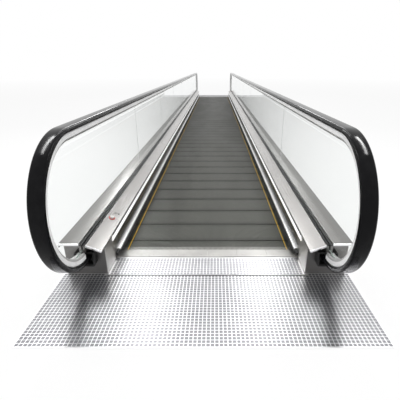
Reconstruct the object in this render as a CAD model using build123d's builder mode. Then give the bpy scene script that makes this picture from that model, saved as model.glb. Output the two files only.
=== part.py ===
# Level moving walkway with glass balustrades, from the floor level up.
# Travel runs along Y, the near landing lies at negative Y, and Z = 0 is the resting plane.
import os

from build123d import *

os.makedirs("parts", exist_ok=True)

# Pallet band
pallet_pitch = 285
pallet_count = 44
pallet_width = 1262
pallet_thickness = 34
pallet_joint = 3
first_joint = 93
pallet_end_run = 48
pallet_side_clearance = 6
groove_count = 8
groove_width = 60
groove_depth = 10
track_height = 26
track_width = 60
track_web = 12
track_flange = 6
track_inset = 12

# Combs and landings
comb_segments = 4
comb_joint = 1
comb_depth = 150
comb_root = 50
comb_seat_depth = 8
comb_proud = 4
tooth_clearance = 3
tooth_mesh = 6
tooth_tip_drop = 2
comb_plate_nose = 53
comb_plate_end = 362
comb_plate_thickness = 20
comb_side_clearance = 3
seam_gap = 4
landing_end = 952
landing_side = 19
landing_plate_thickness = 8
landing_corner = 4
frame_bar = 30
frame_bays = 3
bearer_width = 40
bearer_spacing = 400
bearer_count = 3

# Balustrade section, heights measured from the floor level
sheet = 3
wall_setback = 342
deck_setback = 403
outer_deck_height = 250
outer_deck_width = 125
outer_flange = 28
outer_deck_step = 10
channel_width = 44
channel_depth = 50
inner_deck_width = 94
inner_deck_rise = 40
deck_lip = 7
deck_panel_count = 4
deck_joint = 1
trim_gap = 1
trim_height = 40
trim_thickness = 5
trim_setback = 190
trim_end_cut = 22
brush_low = 18
brush_height = 28
brush_projection = 20
brush_nose_low = 24
brush_nose_height = 9
brush_setback = 100
brush_cap_length = 45
bristle_length = 18
bristle_height = 7
bracket_post = 94
bracket_thickness = 8
bracket_end_inset = 212
bracket_count = 9
bracket_arm_foot = 2

# Glass, handrail and guide
glass_thickness = 12
glass_side_clearance = 0.5
glass_joint = 3
glass_bite = 29
glass_panel_count = 8
newel_setback = 402
belt_channel_gap = 30
handrail_radius = 410
handrail_width = 80
handrail_thickness = 30
handrail_crown = 10
handrail_lip = 7
handrail_lip_gap = 40
handrail_corner = 10
guide_clearance = 0.3
guide_head_side = 1
guide_neck = 34
guide_width = 56
guide_height = 42
guide_bevel = 14
guide_foot_width = 40
guide_gap = 3
guide_rebate = 14
guide_end_angle = 4

# Handrail inlets
inlet_width = 160
inlet_height = 104
inlet_depth = 56
inlet_corner = 6
inlet_clearance = 8
inlet_top_gap = 1

# Stop buttons and key switches on the inner deck
button_share = 0.6
stop_along = 24
stop_radius = 17
stop_height = 9
stop_taper = 12
bezel_radius = 23
bezel_height = 3
switch_share = 0.46
switch_along = 112
switch_spacing = 24
switch_radius = 8
switch_height = 3

# Cuts run past what they cut
overrun = 5

# Worked out from the sizes above
floor_level = track_height + pallet_thickness
inner_deck_high = outer_deck_height - outer_deck_step
inner_deck_low = inner_deck_high - inner_deck_rise
deck_lip_foot = inner_deck_low - deck_lip
trim_low = deck_lip_foot - trim_gap - trim_height
channel_foot = inner_deck_high - channel_depth
glass_foot = inner_deck_high - glass_bite
newel_height = channel_foot - belt_channel_gap - handrail_thickness + handrail_radius
skirt_face = pallet_width / 2 + pallet_side_clearance
channel_inner = skirt_face + inner_deck_width
channel_outer = channel_inner + channel_width
glass_line = (channel_inner + channel_outer) / 2
outer_deck_edge = channel_outer + outer_deck_width
landing_width = 2 * (outer_deck_edge + landing_side)
comb_line = pallet_pitch * pallet_count / 2
band_half = comb_line + pallet_end_run
groove_pitch = pallet_width / groove_count
groove_places = [groove_pitch * (i - (groove_count - 1) / 2) for i in range(groove_count)]
joint_places = [first_joint - comb_line + pallet_pitch * i for i in range(pallet_count)]
wall_line = comb_line + wall_setback
deck_line = comb_line + deck_setback
newel_line = comb_line + newel_setback
newel_centre = floor_level + newel_height
comb_width = 2 * (skirt_face - comb_side_clearance)
cladding_face = outer_deck_edge - sheet
cladding_inside = cladding_face - sheet
deck_nose = skirt_face - sheet
deck_slope = (inner_deck_high - inner_deck_low) / (channel_inner - deck_nose)
deck_drop = sheet * (1 + deck_slope**2) ** 0.5
lips_radius = handrail_radius - handrail_thickness
crown_radius = handrail_radius - handrail_crown
head_width = handrail_width - 2 * (handrail_crown + guide_head_side)
guide_top_radius = crown_radius - guide_clearance
guide_shoulder_radius = lips_radius - guide_gap
guide_foot_radius = guide_shoulder_radius - guide_height
glass_radius = guide_foot_radius + guide_rebate
parting_height = 2 * (floor_level + outer_deck_height + overrun)


def height(above_floor):
    """Level of a height that is measured from the floor."""
    return floor_level + above_floor


def deck_top(across):
    """Level of the inclined inner deck's upper face."""
    return height(inner_deck_low) + deck_slope * (across - deck_nose)


def near(setback):
    """Place along Y that lies before the near comb line."""
    return -comb_line - setback


def save(part, name):
    part.label = name
    export_step(part, f"parts/{name}.step")


def save_sides(piece, name):
    """Write the right-hand piece and its mirrored left-hand copy."""
    with BuildPart() as opposite:
        mirror(piece.part, about=Plane.YZ)
    save(piece.part, f"right_{name}")
    save(opposite.part, f"left_{name}")


def save_ends(piece, name):
    """Write the near piece and its mirrored far copy."""
    with BuildPart() as opposite:
        mirror(piece.part, about=Plane.XZ)
    save(piece.part, f"near_{name}")
    save(opposite.part, f"far_{name}")


# Grooved pallets: one long grooved band, parted at the pallet joints
with BuildPart() as pallets:
    with BuildSketch(Plane.XZ):
        with Locations((0, floor_level)):
            Rectangle(pallet_width, pallet_thickness, align=(Align.CENTER, Align.MAX))
            with GridLocations(groove_pitch, 0, groove_count, 1):
                Rectangle(groove_width, 2 * groove_depth, mode=Mode.SUBTRACT)
    extrude(amount=band_half, both=True)
    with Locations(*[(0, place, floor_level) for place in joint_places]):
        Box(pallet_width + overrun, pallet_joint, 2 * pallet_thickness + overrun, mode=Mode.SUBTRACT)
save(pallets.part, "pallets")

# Tracks under the pallets' edges, an I-section on each side from landing frame to landing frame
with BuildPart() as track:
    with BuildSketch(Plane.XZ):
        with Locations((pallet_width / 2 - track_inset - track_width / 2, 0)):
            Rectangle(track_width, track_flange, align=(Align.CENTER, Align.MIN))
            Rectangle(track_web, track_height, align=(Align.CENTER, Align.MIN))
            with Locations((0, track_height)):
                Rectangle(track_width, track_flange, align=(Align.CENTER, Align.MAX))
    extrude(amount=wall_line, both=True)
save_sides(track, "pallet_track")

# Comb plate with a stepped seat for the comb segments
with BuildPart() as comb_plate:
    with BuildSketch(Plane.YZ):
        with BuildLine():
            Polyline(
                (near(comb_plate_end), floor_level),
                (near(comb_depth), floor_level),
                (near(comb_depth), floor_level - comb_seat_depth),
                (near(comb_plate_nose), floor_level - comb_seat_depth),
                (near(comb_plate_nose), floor_level - comb_plate_thickness),
                (near(comb_plate_end), floor_level - comb_plate_thickness),
                close=True,
            )
        make_face()
    extrude(amount=comb_width / 2, both=True)
save_ends(comb_plate, "comb_plate")

# Comb segments, whose tapered teeth reach down into the pallets' grooves
with BuildPart() as combs:
    with BuildSketch(Plane.YZ):
        with BuildLine():
            Polyline(
                (near(comb_depth), floor_level),
                (near(comb_depth), floor_level - comb_seat_depth),
                (near(comb_root), floor_level - comb_seat_depth),
                (near(comb_root), height(comb_proud)),
                (near(comb_depth) + comb_proud, height(comb_proud)),
                close=True,
            )
        make_face()
    extrude(amount=comb_width / 2, both=True)
    with BuildSketch(*[Plane.YZ.offset(place) for place in groove_places]):
        with BuildLine():
            Polyline(
                (near(comb_root), floor_level - tooth_mesh),
                (near(0), floor_level - tooth_mesh),
                (near(0), floor_level - tooth_tip_drop),
                (near(comb_root), height(comb_proud)),
                close=True,
            )
        make_face()
    extrude(amount=groove_width / 2 - tooth_clearance, both=True)
    with Locations((0, near(comb_depth / 2), floor_level)):
        with GridLocations(comb_width / comb_segments, 0, comb_segments - 1, 1):
            Box(comb_joint, comb_depth + overrun, comb_depth, mode=Mode.SUBTRACT)
save_ends(combs, "combs")

# Landing plate, notched for the comb plate so that its sides reach the end walls
frame_depth = landing_end - wall_setback
with BuildPart() as landing_plate:
    with BuildSketch(Plane.XY.offset(floor_level - landing_plate_thickness)):
        with Locations((0, near(landing_end))):
            Rectangle(landing_width, frame_depth, align=(Align.CENTER, Align.MIN))
        with Locations((0, near(wall_setback))):
            Rectangle(
                comb_width + 2 * comb_side_clearance,
                2 * (comb_plate_end + seam_gap - wall_setback),
                mode=Mode.SUBTRACT,
            )
    extrude(amount=landing_plate_thickness)
    chamfer(landing_plate.edges().filter_by(Axis.Z).group_by(Axis.Y)[0], landing_corner)
save_ends(landing_plate, "landing_plate")

# Landing frame: barred ring under the landing plate, bearers under the comb plate
bay_width = (landing_width - frame_bar) / frame_bays
with BuildPart() as landing_frame:
    with BuildSketch(Plane.XY):
        with Locations((0, near(landing_end) + frame_depth / 2)):
            Rectangle(landing_width, frame_depth)
            with GridLocations(bay_width, 0, frame_bays, 1):
                Rectangle(bay_width - frame_bar, frame_depth - 2 * frame_bar, mode=Mode.SUBTRACT)
    extrude(amount=floor_level - landing_plate_thickness)
    with Locations((0, near(wall_setback), floor_level)):
        Box(
            comb_width + 2 * comb_side_clearance,
            2 * (comb_plate_end + seam_gap - wall_setback),
            2 * comb_plate_thickness,
            mode=Mode.SUBTRACT,
        )
    with BuildSketch(Plane.XY):
        with Locations((0, near(comb_plate_end))):
            with GridLocations(bearer_spacing, 0, bearer_count, 1):
                Rectangle(
                    bearer_width,
                    comb_plate_end - comb_plate_nose,
                    align=(Align.CENTER, Align.MIN),
                )
    extrude(amount=floor_level - comb_plate_thickness)
save_ends(landing_frame, "landing_frame")

# Skirt panels beside the pallets
with BuildPart() as skirt:
    with BuildSketch(Plane.XZ):
        with Locations((skirt_face, 0)):
            Rectangle(sheet, deck_top(skirt_face) - deck_drop, align=(Align.MIN, Align.MIN))
    extrude(amount=wall_line, both=True)
    with GridLocations(0, 2 * wall_line / deck_panel_count, 1, deck_panel_count - 1):
        Box(landing_width, deck_joint, parting_height, mode=Mode.SUBTRACT)
save_sides(skirt, "skirt_panels")

# Trim strip along the skirt's top, with slanted ends
trim_end = comb_line + trim_setback
with BuildPart() as trim:
    with BuildSketch(Plane.YZ.offset(skirt_face - trim_thickness)):
        with BuildLine():
            Polyline(
                (-trim_end, height(trim_low)),
                (trim_end, height(trim_low)),
                (trim_end - trim_end_cut, height(trim_low + trim_height)),
                (trim_end_cut - trim_end, height(trim_low + trim_height)),
                close=True,
            )
        make_face()
    extrude(amount=trim_thickness)
save_sides(trim, "skirt_trim")

# Brush holder, a rounded profile on the skirt, and its end caps
brush_end = comb_line + brush_setback
brush_nose = skirt_face - brush_projection
brush_nose_top = brush_nose_low + brush_nose_height
brush_top = brush_low + brush_height
brush_round = brush_top - brush_nose_top
brush_cap_planes = [Plane.XZ.offset(brush_end), Plane.XZ.offset(-brush_end - brush_cap_length)]


def brush_profile(*planes):
    with BuildSketch(*planes) as profile:
        with BuildLine():
            Polyline(
                (brush_nose, height(brush_nose_top)),
                (brush_nose, height(brush_nose_low)),
                (skirt_face, height(brush_low)),
                (skirt_face, height(brush_top)),
                (brush_nose + brush_round, height(brush_top)),
            )
            TangentArc(
                (brush_nose, height(brush_nose_top)),
                (brush_nose + brush_round, height(brush_top)),
                tangent=(0, 1),
            )
        make_face()
    return profile.sketch


with BuildPart() as brush_holder:
    extrude(brush_profile(Plane.XZ), amount=brush_end, both=True)
save_sides(brush_holder, "brush_holder")

with BuildPart() as brush:
    extrude(brush_profile(*brush_cap_planes), amount=brush_cap_length)
    with BuildSketch(Plane.XZ):
        with Locations((brush_nose, height(brush_nose_low + brush_nose_height / 2))):
            Rectangle(bristle_length, bristle_height, align=(Align.MAX, Align.CENTER))
    extrude(amount=brush_end - brush_cap_length, both=True)
save_sides(brush, "skirt_brush")

# Inclined inner deck with a turned-down lip over the skirt
with BuildPart() as inner_deck:
    with BuildSketch(Plane.XZ):
        with BuildLine():
            Polyline(
                (deck_nose, height(deck_lip_foot)),
                (deck_nose, deck_top(deck_nose)),
                (channel_inner, deck_top(channel_inner)),
                (channel_inner, deck_top(channel_inner) - deck_drop),
                (skirt_face, deck_top(skirt_face) - deck_drop),
                (skirt_face, height(deck_lip_foot)),
                close=True,
            )
        make_face()
    extrude(amount=deck_line, both=True)
    with GridLocations(0, 2 * deck_line / deck_panel_count, 1, deck_panel_count - 1):
        Box(landing_width, deck_joint, parting_height, mode=Mode.SUBTRACT)
save_sides(inner_deck, "inner_deck")

# Channel that clamps the foot of the glass
with BuildPart() as channel:
    with BuildSketch(Plane.XZ):
        with Locations((glass_line, height(channel_foot))):
            Rectangle(
                channel_width,
                inner_deck_high - channel_foot,
                align=(Align.CENTER, Align.MIN),
            )
        with Locations((glass_line, height(glass_foot))):
            Rectangle(
                glass_thickness + 2 * glass_side_clearance,
                glass_radius,
                align=(Align.CENTER, Align.MIN),
                mode=Mode.SUBTRACT,
            )
    extrude(amount=deck_line, both=True)
    with GridLocations(0, 2 * deck_line / deck_panel_count, 1, deck_panel_count - 1):
        Box(landing_width, deck_joint, parting_height, mode=Mode.SUBTRACT)
save_sides(channel, "glass_channel")

# Glass panels: one long panel with round newel ends and a level foot, parted at the glass joints
with BuildPart() as glass:
    with BuildSketch(Plane.YZ.offset(glass_line)):
        with Locations((0, newel_centre)):
            SlotCenterToCenter(2 * newel_line, 2 * glass_radius)
    extrude(amount=glass_thickness / 2, both=True)
    with Locations((glass_line, 0, height(glass_foot))):
        Box(
            handrail_width,
            2 * (newel_line + handrail_radius),
            handrail_radius,
            align=(Align.CENTER, Align.CENTER, Align.MAX),
            mode=Mode.SUBTRACT,
        )
    with Locations((glass_line, 0, newel_centre)):
        with GridLocations(0, 2 * newel_line / glass_panel_count, 1, glass_panel_count - 1):
            Box(handrail_width, glass_joint, 2 * handrail_radius, mode=Mode.SUBTRACT)
save_sides(glass, "glass_panels")

# Level outer deck, a sheet with turned-down edges
with BuildPart() as outer_deck:
    with BuildSketch(Plane.XZ):
        with Locations((channel_outer, height(outer_deck_height))):
            Rectangle(outer_deck_edge - channel_outer, outer_flange, align=(Align.MIN, Align.MAX))
        with Locations((channel_outer + sheet, height(outer_deck_height) - sheet)):
            Rectangle(
                outer_deck_edge - channel_outer - 2 * sheet,
                outer_flange,
                align=(Align.MIN, Align.MAX),
                mode=Mode.SUBTRACT,
            )
    extrude(amount=deck_line, both=True)
    with GridLocations(0, 2 * deck_line / deck_panel_count, 1, deck_panel_count - 1):
        Box(landing_width, deck_joint, parting_height, mode=Mode.SUBTRACT)
save_sides(outer_deck, "outer_deck")

# Side cladding from the resting plane up to the outer deck
with BuildPart() as cladding:
    with BuildSketch(Plane.XZ):
        with Locations((cladding_inside, 0)):
            Rectangle(sheet, height(outer_deck_height) - sheet, align=(Align.MIN, Align.MIN))
    extrude(amount=wall_line, both=True)
    with GridLocations(0, 2 * wall_line / deck_panel_count, 1, deck_panel_count - 1):
        Box(landing_width, deck_joint, parting_height, mode=Mode.SUBTRACT)
save_sides(cladding, "side_cladding")

# Brackets inside the balustrade: a post under the outer deck with an arm to the channel
bracket_spacing = 2 * (wall_line - bracket_end_inset) / (bracket_count - 1)
bracket_planes = [
    Plane.XZ.offset(bracket_spacing * (i - (bracket_count - 1) / 2)) for i in range(bracket_count)
]
with BuildPart() as brackets:
    with BuildSketch(*bracket_planes):
        with BuildLine():
            Polyline(
                (cladding_inside - bracket_post, 0),
                (cladding_inside, 0),
                (cladding_inside, height(outer_deck_height) - sheet),
                (channel_outer + sheet, height(outer_deck_height) - sheet),
                (channel_outer + sheet, height(outer_deck_height) - outer_flange),
                (channel_outer, height(outer_deck_height) - outer_flange),
                (channel_outer, height(channel_foot + bracket_arm_foot)),
                (cladding_inside - bracket_post, height(channel_foot + bracket_arm_foot)),
                close=True,
            )
        make_face()
    extrude(amount=bracket_thickness / 2, both=True)
save_sides(brackets, "balustrade_brackets")


# Handrail: a C-section belt, one closed loop round both newels
def belt_section(plane):
    with BuildSketch(plane) as section:
        with Locations((glass_line, newel_centre + handrail_radius)):
            Rectangle(handrail_width, handrail_thickness, align=(Align.CENTER, Align.MAX))
            chamfer(section.vertices().group_by(Axis.Y)[-1], handrail_corner)
        with Locations((glass_line, newel_centre + crown_radius)):
            Rectangle(
                handrail_width - 2 * handrail_crown,
                crown_radius - lips_radius - handrail_lip,
                align=(Align.CENTER, Align.MAX),
                mode=Mode.SUBTRACT,
            )
            Rectangle(
                handrail_lip_gap,
                handrail_thickness,
                align=(Align.CENTER, Align.MAX),
                mode=Mode.SUBTRACT,
            )
    return section.sketch


near_turn = Axis((0, -newel_line, newel_centre), (1, 0, 0))
far_turn = Axis((0, newel_line, newel_centre), (1, 0, 0))
with BuildPart() as handrail:
    extrude(belt_section(Plane.XZ), amount=newel_line, both=True)
    mirror(about=Plane.XY.offset(newel_centre))
    revolve(belt_section(Plane.XZ.offset(newel_line)), axis=near_turn, revolution_arc=180)
    revolve(belt_section(Plane.XZ.offset(-newel_line)), axis=far_turn, revolution_arc=-180)
save_sides(handrail, "handrail")


# Handrail guide: a rail that carries the belt and grips the rim of the glass
def guide_body():
    """The bevelled body under the belt, as an outline about the glass line and the newel centre."""
    Polygon(
        (-guide_width / 2, guide_shoulder_radius),
        (guide_width / 2, guide_shoulder_radius),
        (guide_width / 2, guide_foot_radius + guide_bevel),
        (guide_foot_width / 2, guide_foot_radius),
        (-guide_foot_width / 2, guide_foot_radius),
        (-guide_width / 2, guide_foot_radius + guide_bevel),
        align=None,
    )


def guide_section(plane):
    with BuildSketch(plane) as section:
        with Locations((glass_line, newel_centre)):
            with Locations((0, guide_top_radius)):
                Rectangle(
                    head_width,
                    guide_top_radius - lips_radius - handrail_lip - guide_head_side,
                    align=(Align.CENTER, Align.MAX),
                )
                Rectangle(
                    guide_neck,
                    guide_top_radius - guide_shoulder_radius,
                    align=(Align.CENTER, Align.MAX),
                )
            guide_body()
            with Locations((0, glass_radius)):
                Rectangle(
                    glass_thickness + 2 * glass_side_clearance,
                    2 * guide_rebate,
                    align=(Align.CENTER, Align.MAX),
                    mode=Mode.SUBTRACT,
                )
    return section.sketch


guide_turn = 180 - guide_end_angle
with BuildPart() as guide:
    extrude(guide_section(Plane.XZ), amount=newel_line, both=True)
    revolve(guide_section(Plane.XZ.offset(newel_line)), axis=near_turn, revolution_arc=guide_turn)
    revolve(guide_section(Plane.XZ.offset(-newel_line)), axis=far_turn, revolution_arc=-guide_turn)
save_sides(guide, "handrail_guide")

# End walls under the decks, with the belt's way through
belt_low = newel_centre - handrail_radius
belt_way = handrail_thickness + 2 * inlet_clearance
with BuildPart() as end_wall:
    with BuildSketch(Plane.XZ.offset(wall_line)):
        with BuildLine():
            Polyline(
                (skirt_face + sheet, 0),
                (cladding_inside, 0),
                (cladding_inside, height(outer_deck_height) - sheet),
                (channel_outer + sheet, height(outer_deck_height) - sheet),
                (channel_outer + sheet, height(outer_deck_height) - outer_flange),
                (channel_outer, height(outer_deck_height) - outer_flange),
                (channel_outer, height(channel_foot)),
                (channel_inner, height(channel_foot)),
                (channel_inner, deck_top(channel_inner) - deck_drop),
                (skirt_face + sheet, deck_top(skirt_face + sheet) - deck_drop),
                close=True,
            )
        make_face()
        with Locations((glass_line, belt_low - inlet_clearance)):
            Rectangle(
                handrail_width + 2 * inlet_clearance,
                belt_way,
                align=(Align.CENTER, Align.MIN),
                mode=Mode.SUBTRACT,
            )
    extrude(amount=-sheet)
with BuildPart() as near_left_wall:
    mirror(end_wall.part, about=Plane.YZ)
save_ends(end_wall, "right_end_wall")
save_ends(near_left_wall, "left_end_wall")

# Handrail inlets: boxes on the end walls that the belt runs into
inlet_top = height(channel_foot - inlet_top_gap)
with BuildPart() as inlets:
    with Locations((glass_line, -wall_line, inlet_top), (-glass_line, -wall_line, inlet_top)):
        Box(
            inlet_width,
            inlet_depth,
            inlet_height,
            align=(Align.CENTER, Align.MAX, Align.MAX),
        )
    chamfer(inlets.faces().sort_by(Axis.Y)[:2].edges(), inlet_corner)
    with Locations((glass_line, -wall_line, belt_low), (-glass_line, -wall_line, belt_low)):
        with Locations((0, 0, -inlet_clearance)):
            Box(
                handrail_width + 2 * inlet_clearance,
                2 * inlet_depth + overrun,
                belt_way,
                align=(Align.CENTER, Align.CENTER, Align.MIN),
                mode=Mode.SUBTRACT,
            )
save_ends(inlets, "handrail_inlets")

# Stop buttons and key switches at the near left and far right, square to the inclined deck
def deck_plane(turn, along, share):
    """Plane on the inner deck, near left for a turn of -1 and far right for a turn of 1."""
    across = deck_nose + share * (channel_inner - deck_nose)
    return Plane(
        origin=(turn * across, turn * (comb_line - along), deck_top(across)),
        x_dir=(0, 1, 0),
        z_dir=(-turn * deck_slope, 0, 1),
    )


turns = (-1, 1)
with BuildPart() as bezels:
    with BuildSketch(*[deck_plane(turn, stop_along, button_share) for turn in turns]):
        Circle(bezel_radius)
    extrude(amount=bezel_height)
save(bezels.part, "stop_button_bezels")

with BuildPart() as buttons:
    with BuildSketch(*[deck_plane(turn, stop_along, button_share).offset(bezel_height) for turn in turns]):
        Circle(stop_radius)
    extrude(amount=stop_height, taper=stop_taper)
save(buttons.part, "stop_buttons")

with BuildPart() as switches:
    with BuildSketch(*[deck_plane(turn, switch_along, switch_share) for turn in turns]):
        with GridLocations(0, switch_spacing, 1, 2):
            Circle(switch_radius)
    extrude(amount=switch_height)
save(switches.part, "key_switches")
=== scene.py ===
import math
import random

import bmesh
import bpy
from bpy.props import FloatProperty, FloatVectorProperty, IntProperty, PointerProperty
from mathutils import Matrix, Vector


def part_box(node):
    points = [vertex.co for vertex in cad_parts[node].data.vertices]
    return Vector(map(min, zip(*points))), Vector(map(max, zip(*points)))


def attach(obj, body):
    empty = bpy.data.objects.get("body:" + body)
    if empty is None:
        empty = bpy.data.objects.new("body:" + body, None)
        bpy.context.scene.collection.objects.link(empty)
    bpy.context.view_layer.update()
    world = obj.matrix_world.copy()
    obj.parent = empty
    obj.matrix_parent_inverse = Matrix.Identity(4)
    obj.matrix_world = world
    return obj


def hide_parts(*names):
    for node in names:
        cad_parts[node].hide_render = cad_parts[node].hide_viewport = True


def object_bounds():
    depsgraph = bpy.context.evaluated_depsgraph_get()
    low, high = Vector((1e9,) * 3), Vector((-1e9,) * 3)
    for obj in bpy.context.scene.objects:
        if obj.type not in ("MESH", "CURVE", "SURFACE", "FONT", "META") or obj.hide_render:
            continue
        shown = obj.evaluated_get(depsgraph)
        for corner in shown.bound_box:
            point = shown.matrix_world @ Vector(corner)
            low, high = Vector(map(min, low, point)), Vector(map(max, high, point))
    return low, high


bl_info = {
    "name": "Moving Walkway",
    "version": (1, 0, 0),
    "blender": (4, 5, 0),
    "location": "View3D > Sidebar > Walkway",
    "description": "Dresses the frame of a level moving walkway with its visible pieces",
    "category": "Object",
}

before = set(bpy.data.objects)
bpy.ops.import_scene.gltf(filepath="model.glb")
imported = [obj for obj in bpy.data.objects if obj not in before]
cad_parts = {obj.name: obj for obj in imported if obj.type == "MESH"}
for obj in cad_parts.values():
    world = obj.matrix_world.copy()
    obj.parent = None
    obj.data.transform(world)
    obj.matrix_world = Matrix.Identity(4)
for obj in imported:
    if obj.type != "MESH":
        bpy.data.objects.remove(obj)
CAD_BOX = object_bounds()

WHITE = (1.0, 1.0, 1.0)
SIDES = {"left": -1, "right": 1}
ENDS = {"near": -1, "far": 1}
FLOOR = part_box("near_landing_plate")[1][2]
COMB_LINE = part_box("far_combs")[0][1]
BELT_LOW, BELT_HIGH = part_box("right_handrail")
BELT_RADIUS = (BELT_HIGH[2] - BELT_LOW[2]) / 2
NEWEL_Z = (BELT_HIGH[2] + BELT_LOW[2]) / 2
NEWEL_Y = BELT_HIGH[1] - BELT_RADIUS
GLASS_X = (BELT_HIGH[0] + BELT_LOW[0]) / 2
SKIRT_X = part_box("right_skirt_panels")[0][0]


class WalkwaySizes(bpy.types.PropertyGroup):
    """Sizes of the walkway's fine pieces."""

    cleat_count: IntProperty(
        name="Cleats", description="Cleats across one pallet", default=140, min=20
    )
    pallet_pitch: FloatProperty(
        name="Pallet Pitch",
        description="Distance from one pallet joint to the next",
        default=0.285,
        unit="LENGTH",
    )
    first_joint: FloatProperty(
        name="First Joint",
        description="Distance from the near comb line to the first pallet joint",
        default=0.093,
        unit="LENGTH",
    )
    pallet_joint: FloatProperty(
        name="Pallet Joint", description="Open joint between two pallets", default=0.0022, unit="LENGTH"
    )
    cleat_height: FloatProperty(
        name="Cleat Height",
        description="Height of a cleat over the bottom of its groove",
        default=0.010,
        unit="LENGTH",
    )
    groove_width: FloatProperty(
        name="Groove Width", description="Open width between two cleats", default=0.0044, unit="LENGTH"
    )
    edge_line_width: FloatProperty(
        name="Edge Line Width",
        description="Width of the painted line along each side of the pallets",
        default=0.008,
        unit="LENGTH",
    )
    edge_line_place: FloatProperty(
        name="Edge Line Place",
        description="Distance of the painted line's middle from the walkway's middle",
        default=0.5814,
        unit="LENGTH",
    )
    comb_segments: IntProperty(
        name="Comb Segments", description="Comb segments across one comb plate", default=6, min=1
    )
    comb_root: FloatProperty(
        name="Comb Root",
        description="Length of the comb teeth before the body",
        default=0.050,
        unit="LENGTH",
    )
    square_pitch: FloatProperty(
        name="Square Pitch",
        description="Distance between the raised squares of the landing plates",
        default=0.0215,
        unit="LENGTH",
    )
    square_gap: FloatProperty(
        name="Square Gap",
        description="Width of the polished lines between the raised squares",
        default=0.0058,
        unit="LENGTH",
    )
    square_height: FloatProperty(
        name="Square Height", description="Height of the raised squares", default=0.0008, unit="LENGTH"
    )
    tuft_pitch: FloatProperty(
        name="Tuft Pitch",
        description="Distance between two tufts of the skirt brush",
        default=0.0045,
        unit="LENGTH",
    )


class WalkwayColours(bpy.types.PropertyGroup):
    """Colours of the walkway's finishes."""

    pallet: FloatVectorProperty(
        name="Pallet",
        description="Dark alloy of the pallets",
        subtype="COLOR",
        default=(0.047, 0.049, 0.0425),
    )
    cleat_wear: FloatVectorProperty(
        name="Cleat Wear",
        description="Alloy that shows where the cleats are worn",
        subtype="COLOR",
        default=(0.124, 0.126, 0.111),
    )
    edge_line: FloatVectorProperty(
        name="Edge Line", description="Paint of the edge lines", subtype="COLOR", default=(0.85, 0.52, 0.03)
    )
    steel: FloatVectorProperty(
        name="Steel", description="Brushed stainless steel", subtype="COLOR", default=(0.50, 0.488, 0.475)
    )
    skirt_coat: FloatVectorProperty(
        name="Skirt Coat",
        description="Dark sliding coat of the skirts beside the pallets",
        subtype="COLOR",
        default=(0.085, 0.088, 0.085),
    )
    polish: FloatVectorProperty(
        name="Polish",
        description="Polished steel of the landing plates",
        subtype="COLOR",
        default=(0.86, 0.86, 0.87),
    )
    etch: FloatVectorProperty(
        name="Etch",
        description="Etched steel of the raised squares",
        subtype="COLOR",
        default=(0.245, 0.245, 0.26),
    )
    comb: FloatVectorProperty(
        name="Comb", description="Cast alloy of the combs", subtype="COLOR", default=(0.39, 0.385, 0.37)
    )
    rubber: FloatVectorProperty(
        name="Rubber", description="Rubber of the handrails", subtype="COLOR", default=(0.004, 0.004, 0.005)
    )
    guide: FloatVectorProperty(
        name="Guide",
        description="Bright alloy of the handrail guides",
        subtype="COLOR",
        default=(0.95, 0.945, 0.94),
    )
    trim: FloatVectorProperty(
        name="Trim", description="White strip along the skirts", subtype="COLOR", default=(0.88, 0.88, 0.87)
    )
    plastic: FloatVectorProperty(
        name="Plastic",
        description="Black plastic of the inlets and caps",
        subtype="COLOR",
        default=(0.015, 0.015, 0.015),
    )
    button: FloatVectorProperty(
        name="Button",
        description="Plastic of the stop buttons",
        subtype="COLOR",
        default=(0.60, 0.03, 0.02),
    )
    glass: FloatVectorProperty(
        name="Glass", description="Tint of the glass panels", subtype="COLOR", default=(0.985, 1.0, 0.993)
    )
    glass_edge: FloatVectorProperty(
        name="Glass Edge",
        description="Tint of the polished glass edges",
        subtype="COLOR",
        default=(0.55, 0.72, 0.65),
    )
    floor: FloatVectorProperty(
        name="Floor", description="Pale studio floor", subtype="COLOR", default=(0.86, 0.86, 0.86)
    )


class Value:
    """A shader socket that can stand in a sum."""

    def __init__(self, finish, socket):
        self.finish = finish
        self.socket = socket

    def combine(self, operation, first, second):
        return self.finish.node("ShaderNodeMath", {"operation": operation}, {0: first, 1: second})

    def __add__(self, other):
        return self.combine("ADD", self, other)

    def __radd__(self, other):
        return self.combine("ADD", other, self)

    def __sub__(self, other):
        return self.combine("SUBTRACT", self, other)

    def __rsub__(self, other):
        return self.combine("SUBTRACT", other, self)

    def __mul__(self, other):
        return self.combine("MULTIPLY", self, other)

    def __rmul__(self, other):
        return self.combine("MULTIPLY", other, self)

    def __mod__(self, other):
        return self.combine("FLOORED_MODULO", self, other)

    def __gt__(self, other):
        return self.combine("GREATER_THAN", self, other)

    def __lt__(self, other):
        return self.combine("LESS_THAN", self, other)

    def __abs__(self):
        return self.combine("ABSOLUTE", self, 0.0)


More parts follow.
